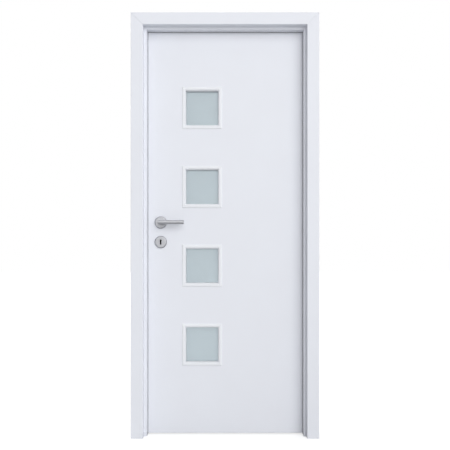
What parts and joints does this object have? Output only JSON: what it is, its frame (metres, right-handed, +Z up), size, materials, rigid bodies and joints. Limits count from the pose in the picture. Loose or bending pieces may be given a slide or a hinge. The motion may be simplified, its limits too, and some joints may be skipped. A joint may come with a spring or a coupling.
{
  "type": "prehung interior door",
  "caption": "White lacquered interior door leaf in its jamb, stops and flat mitred casing, with a column of frosted square lites, lever handles on round roses and a keyhole rose.",
  "frame": {"origin": "on the hinge jamb's wall face, at floor level and at mid wall thickness", "axes": "+X out of the hinge jamb into the wall, +Y towards the side the leaf opens to, +Z up"},
  "size_m": [0.9304, 0.175, 2.102],
  "materials": {
    "frame_lacquer": "smooth white satin lacquer on fibreboard",
    "leaf_lacquer": "smooth white satin lacquer, sprayed",
    "bead_lacquer": "white satin lacquer on moulded beads",
    "leaf_core_board": "raw particle board",
    "frosted_glass": "acid etched, translucent",
    "seal_rubber": "matt grey",
    "satin_steel": "satin brushed",
    "hinge_steel": "satin brushed",
    "lock_steel": "brushed plate"
  },
  "bodies": {
    "frame": {"hinge_jamb": "frame_lacquer", "latch_jamb": "frame_lacquer", "head_jamb": "frame_lacquer", "hinge_stop": "frame_lacquer", "latch_stop": "frame_lacquer", "head_stop": "frame_lacquer", "front_casing_left": "frame_lacquer", "front_casing_right": "frame_lacquer", "front_casing_head": "frame_lacquer", "back_casing_left": "frame_lacquer", "back_casing_right": "frame_lacquer", "back_casing_head": "frame_lacquer", "frame_seal": "seal_rubber", "strike_plate": "lock_steel", "top_hinge_frame_leaf": "hinge_steel", "middle_hinge_frame_leaf": "hinge_steel", "bottom_hinge_frame_leaf": "hinge_steel", "hinge_pins": "hinge_steel"},
    "leaf": {"front_skin": "leaf_lacquer", "back_skin": "leaf_lacquer", "latch_stile": "leaf_lacquer", "hinge_stile": "leaf_lacquer", "top_rail": "leaf_lacquer", "bottom_rail": "leaf_lacquer", "leaf_core": "leaf_core_board", "lock_block": "leaf_core_board", "glass_pane_1": "frosted_glass", "glass_pane_2": "frosted_glass", "glass_pane_3": "frosted_glass", "glass_pane_4": "frosted_glass", "front_lite_frames": "bead_lacquer", "back_lite_frames": "bead_lacquer", "top_hinge_door_leaf": "hinge_steel", "middle_hinge_door_leaf": "hinge_steel", "bottom_hinge_door_leaf": "hinge_steel", "lock_case": "lock_steel", "latch_bolt": "lock_steel", "dead_bolt": "lock_steel", "front_rose": "satin_steel", "back_rose": "satin_steel", "front_key_rose": "satin_steel", "back_key_rose": "satin_steel"},
    "handle": {"front_lever": "satin_steel", "back_lever": "satin_steel", "spindle": "satin_steel"}
  },
  "joints": [
    {"name": "leaf_swing", "type": "hinge", "parent": "frame", "child": "leaf", "pos_m": [-0.0325, 0.061, 0], "axis": [0, 0, -1], "range_deg": [0, 170]},
    {"name": "handle_turn", "type": "hinge", "parent": "leaf", "child": "handle", "pos_m": [-0.761, 0.0325, 1.068], "axis": [0, 1, 0], "range_deg": [0, 40], "stiffness_Nm_per_rad": 1.5, "springref_deg": -45.84}
  ]
}
